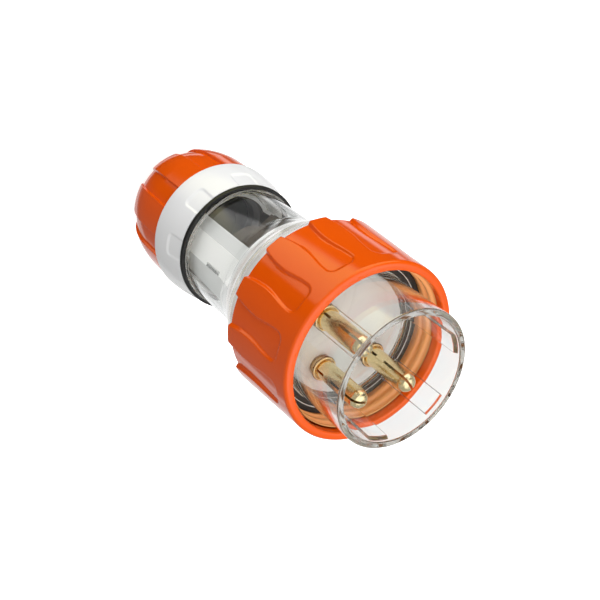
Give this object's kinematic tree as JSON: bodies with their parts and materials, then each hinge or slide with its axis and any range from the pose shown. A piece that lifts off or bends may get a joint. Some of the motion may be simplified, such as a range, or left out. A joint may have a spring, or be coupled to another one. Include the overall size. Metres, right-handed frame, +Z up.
{
  "type": "industrial plug",
  "caption": "Straight weatherproof plug with round split pins in a clear shroud, a fluted locking ring, a clear neck and a cable gland.",
  "frame": {"origin": "centre of the gland cap's flat end, where the cord would enter", "axes": "+Z up along the plug's axis towards the pins, X through the two opposite pins, +Y towards the third pin"},
  "size_m": [0.0706, 0.0706, 0.16],
  "materials": {
    "clear_plastic": "polished clear polycarbonate",
    "orange_plastic": "glossy moulded orange",
    "white_plastic": "semi-gloss white",
    "pale_plastic": "pale moulded plastic",
    "grey_plastic": "grey moulded plastic",
    "brass": "turned and polished",
    "steel": "plated",
    "rubber": "black rubber"
  },
  "bodies": {
    "plug_body": {"shroud_body": "clear_plastic", "pin_left": "brass", "pin_right": "brass", "pin_earth": "brass", "left_terminal_screws": "steel", "right_terminal_screws": "steel", "earth_terminal_screws": "steel", "pin_retainer": "pale_plastic", "retainer_screw": "steel", "face_gasket": "rubber", "housing_seal": "rubber", "rear_housing": "clear_plastic", "terminal_cover": "white_plastic", "clamp_saddle": "grey_plastic", "clamp_bar": "grey_plastic", "clamp_screws": "steel", "collar_seal": "rubber"},
    "ring": {"locking_ring": "orange_plastic"},
    "gland_insert": {"grip_cage": "grey_plastic", "gland_grommet": "rubber"},
    "collar": {"gland_collar": "white_plastic"},
    "washer": {"slip_washer": "pale_plastic"},
    "cap": {"gland_cap": "orange_plastic"}
  },
  "joints": [
    {"name": "ring_turn", "type": "hinge", "parent": "plug_body", "child": "ring", "pos_m": [0, 0, 0.12], "axis": [0, 0, 1], "continuous": true},
    {"name": "collar_slide", "type": "slide", "parent": "plug_body", "child": "gland_insert", "axis": [0, 0, -1], "range_m": [0, 0.006]},
    {"name": "collar_turn", "type": "hinge", "parent": "gland_insert", "child": "collar", "pos_m": [0, 0, 0.044], "axis": [0, 0, -1], "range_deg": [0, 720]},
    {"name": "cap_slide", "type": "slide", "parent": "gland_insert", "child": "washer", "axis": [0, 0, -1], "range_m": [0, 0.009]},
    {"name": "cap_turn", "type": "hinge", "parent": "washer", "child": "cap", "pos_m": [0, 0, 0.02], "axis": [0, 0, -1], "range_deg": [0, 1080]}
  ],
  "couplings": [
    {"joint": "collar_slide", "follows": "collar_turn", "m_per_rad": 0.000477},
    {"joint": "cap_slide", "follows": "cap_turn", "m_per_rad": 0.000477}
  ]
}
